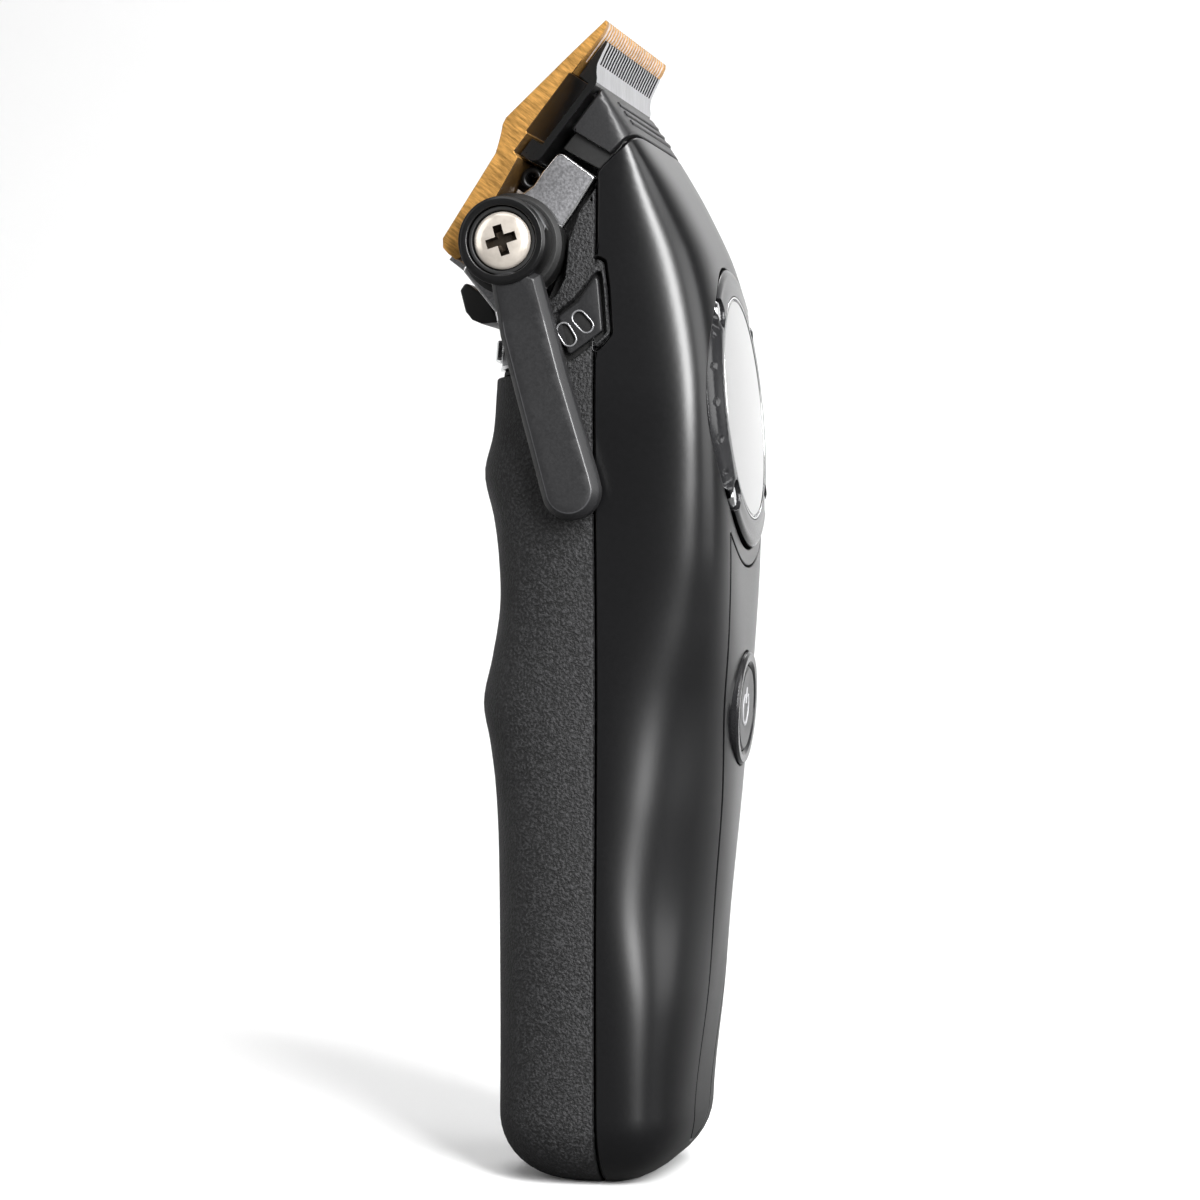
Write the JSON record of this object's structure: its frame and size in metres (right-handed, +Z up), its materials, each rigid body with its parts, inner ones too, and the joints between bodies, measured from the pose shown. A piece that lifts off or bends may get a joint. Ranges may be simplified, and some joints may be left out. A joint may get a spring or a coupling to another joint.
{
  "type": "hair clipper",
  "caption": "Cordless hair clipper with a taper lever that slides the toothed blade, a motor-driven cutter, a round display, a power button and a two-shell body.",
  "frame": {"origin": "on the flat of the closed lower end, where the clipper stands, 3.4 mm behind the seam of the shells", "axes": "+Z up towards the blades, +X towards the front with the display and the power button, -Y towards the side that carries the taper lever"},
  "size_m": [0.0403, 0.0506, 0.1582],
  "materials": {
    "shell_gloss": "semi-gloss black moulded plastic",
    "cover_matte": "matte black plastic with a fine moulded texture",
    "trim_satin": "satin dark grey plastic",
    "bezel": "glossy black plastic ring",
    "lens": "polished black display window",
    "studs": "polished bright studs",
    "button": "satin black cap",
    "blade_gold": "gold coloured coating over brushed steel",
    "cutter_black": "black coated steel with a ground front land",
    "steel": "bright steel",
    "nickel": "warm nickel plating",
    "cast": "bead-blasted casting with bright edges",
    "rubber": "black rubber",
    "circuit": "green circuit laminate",
    "copper": "plated contacts",
    "cell": "shrink wrap"
  },
  "bodies": {
    "root": {"front_shell": "shell_gloss", "rear_cover": "cover_matte", "front_panel": "trim_satin", "nose_cover": "trim_satin", "detent_plate": "trim_satin", "neck_seal": "rubber", "neck_clip": "steel", "head_frame": "cast", "chin_guard": "cover_matte", "tension_spring": "steel", "lever_washer": "steel", "display_bezel": "bezel", "display_lens": "lens", "display_module": "circuit", "bezel_stud_1": "studs", "bezel_stud_2": "studs", "bezel_stud_3": "studs", "bezel_stud_4": "studs", "button_ring": "bezel", "control_board": "circuit", "power_switch": "rubber", "motor_can": "steel", "motor_cap": "cover_matte", "motor_mount": "rubber", "shaft_bearing": "copper", "motor_screw_1": "steel", "motor_screw_2": "steel", "battery_cell": "cell", "battery_cradle": "cover_matte", "battery_terminal_1": "copper", "battery_terminal_2": "copper", "charge_contact_1": "copper", "charge_contact_2": "copper"},
    "lever": {"taper_lever": "trim_satin", "lever_screw": "nickel", "lever_crank": "steel"},
    "blade_carriage": {"fixed_blade": "blade_gold", "blade_slider": "steel", "blade_screw_1": "nickel", "blade_screw_2": "nickel"},
    "cutter": {"cutter_blade": "cutter_black", "cutter_yoke": "cover_matte", "yoke_screw_1": "steel", "yoke_screw_2": "steel"},
    "rotor": {"motor_shaft": "steel", "eccentric_cam": "steel"},
    "button": {"power_button": "button"}
  },
  "joints": [
    {"name": "lever_swing", "type": "hinge", "parent": "root", "child": "lever", "pos_m": [-0.008, -0.0246, 0.1282], "axis": [0, -1, 0], "range_deg": [0, 33]},
    {"name": "blade_slide", "type": "slide", "parent": "root", "child": "blade_carriage", "axis": [-0.6143, 0, -0.7891], "range_m": [0, 0.00194]},
    {"name": "cutter_slide", "type": "slide", "parent": "root", "child": "cutter", "axis": [0, 1, 0], "range_m": [-0.001, 0.001]},
    {"name": "rotor_spin", "type": "hinge", "parent": "root", "child": "rotor", "pos_m": [0.0015, 0, 0.12], "axis": [0, 0, 1], "continuous": true},
    {"name": "power_press", "type": "slide", "parent": "root", "child": "button", "axis": [-0.9976, 0, 0.0698], "range_m": [0, 0.0006], "stiffness_N_per_m": 800, "springref_m": -0.0005}
  ],
  "couplings": [
    {"joint": "blade_slide", "follows": "lever_swing", "m_per_rad": 0.003353}
  ]
}
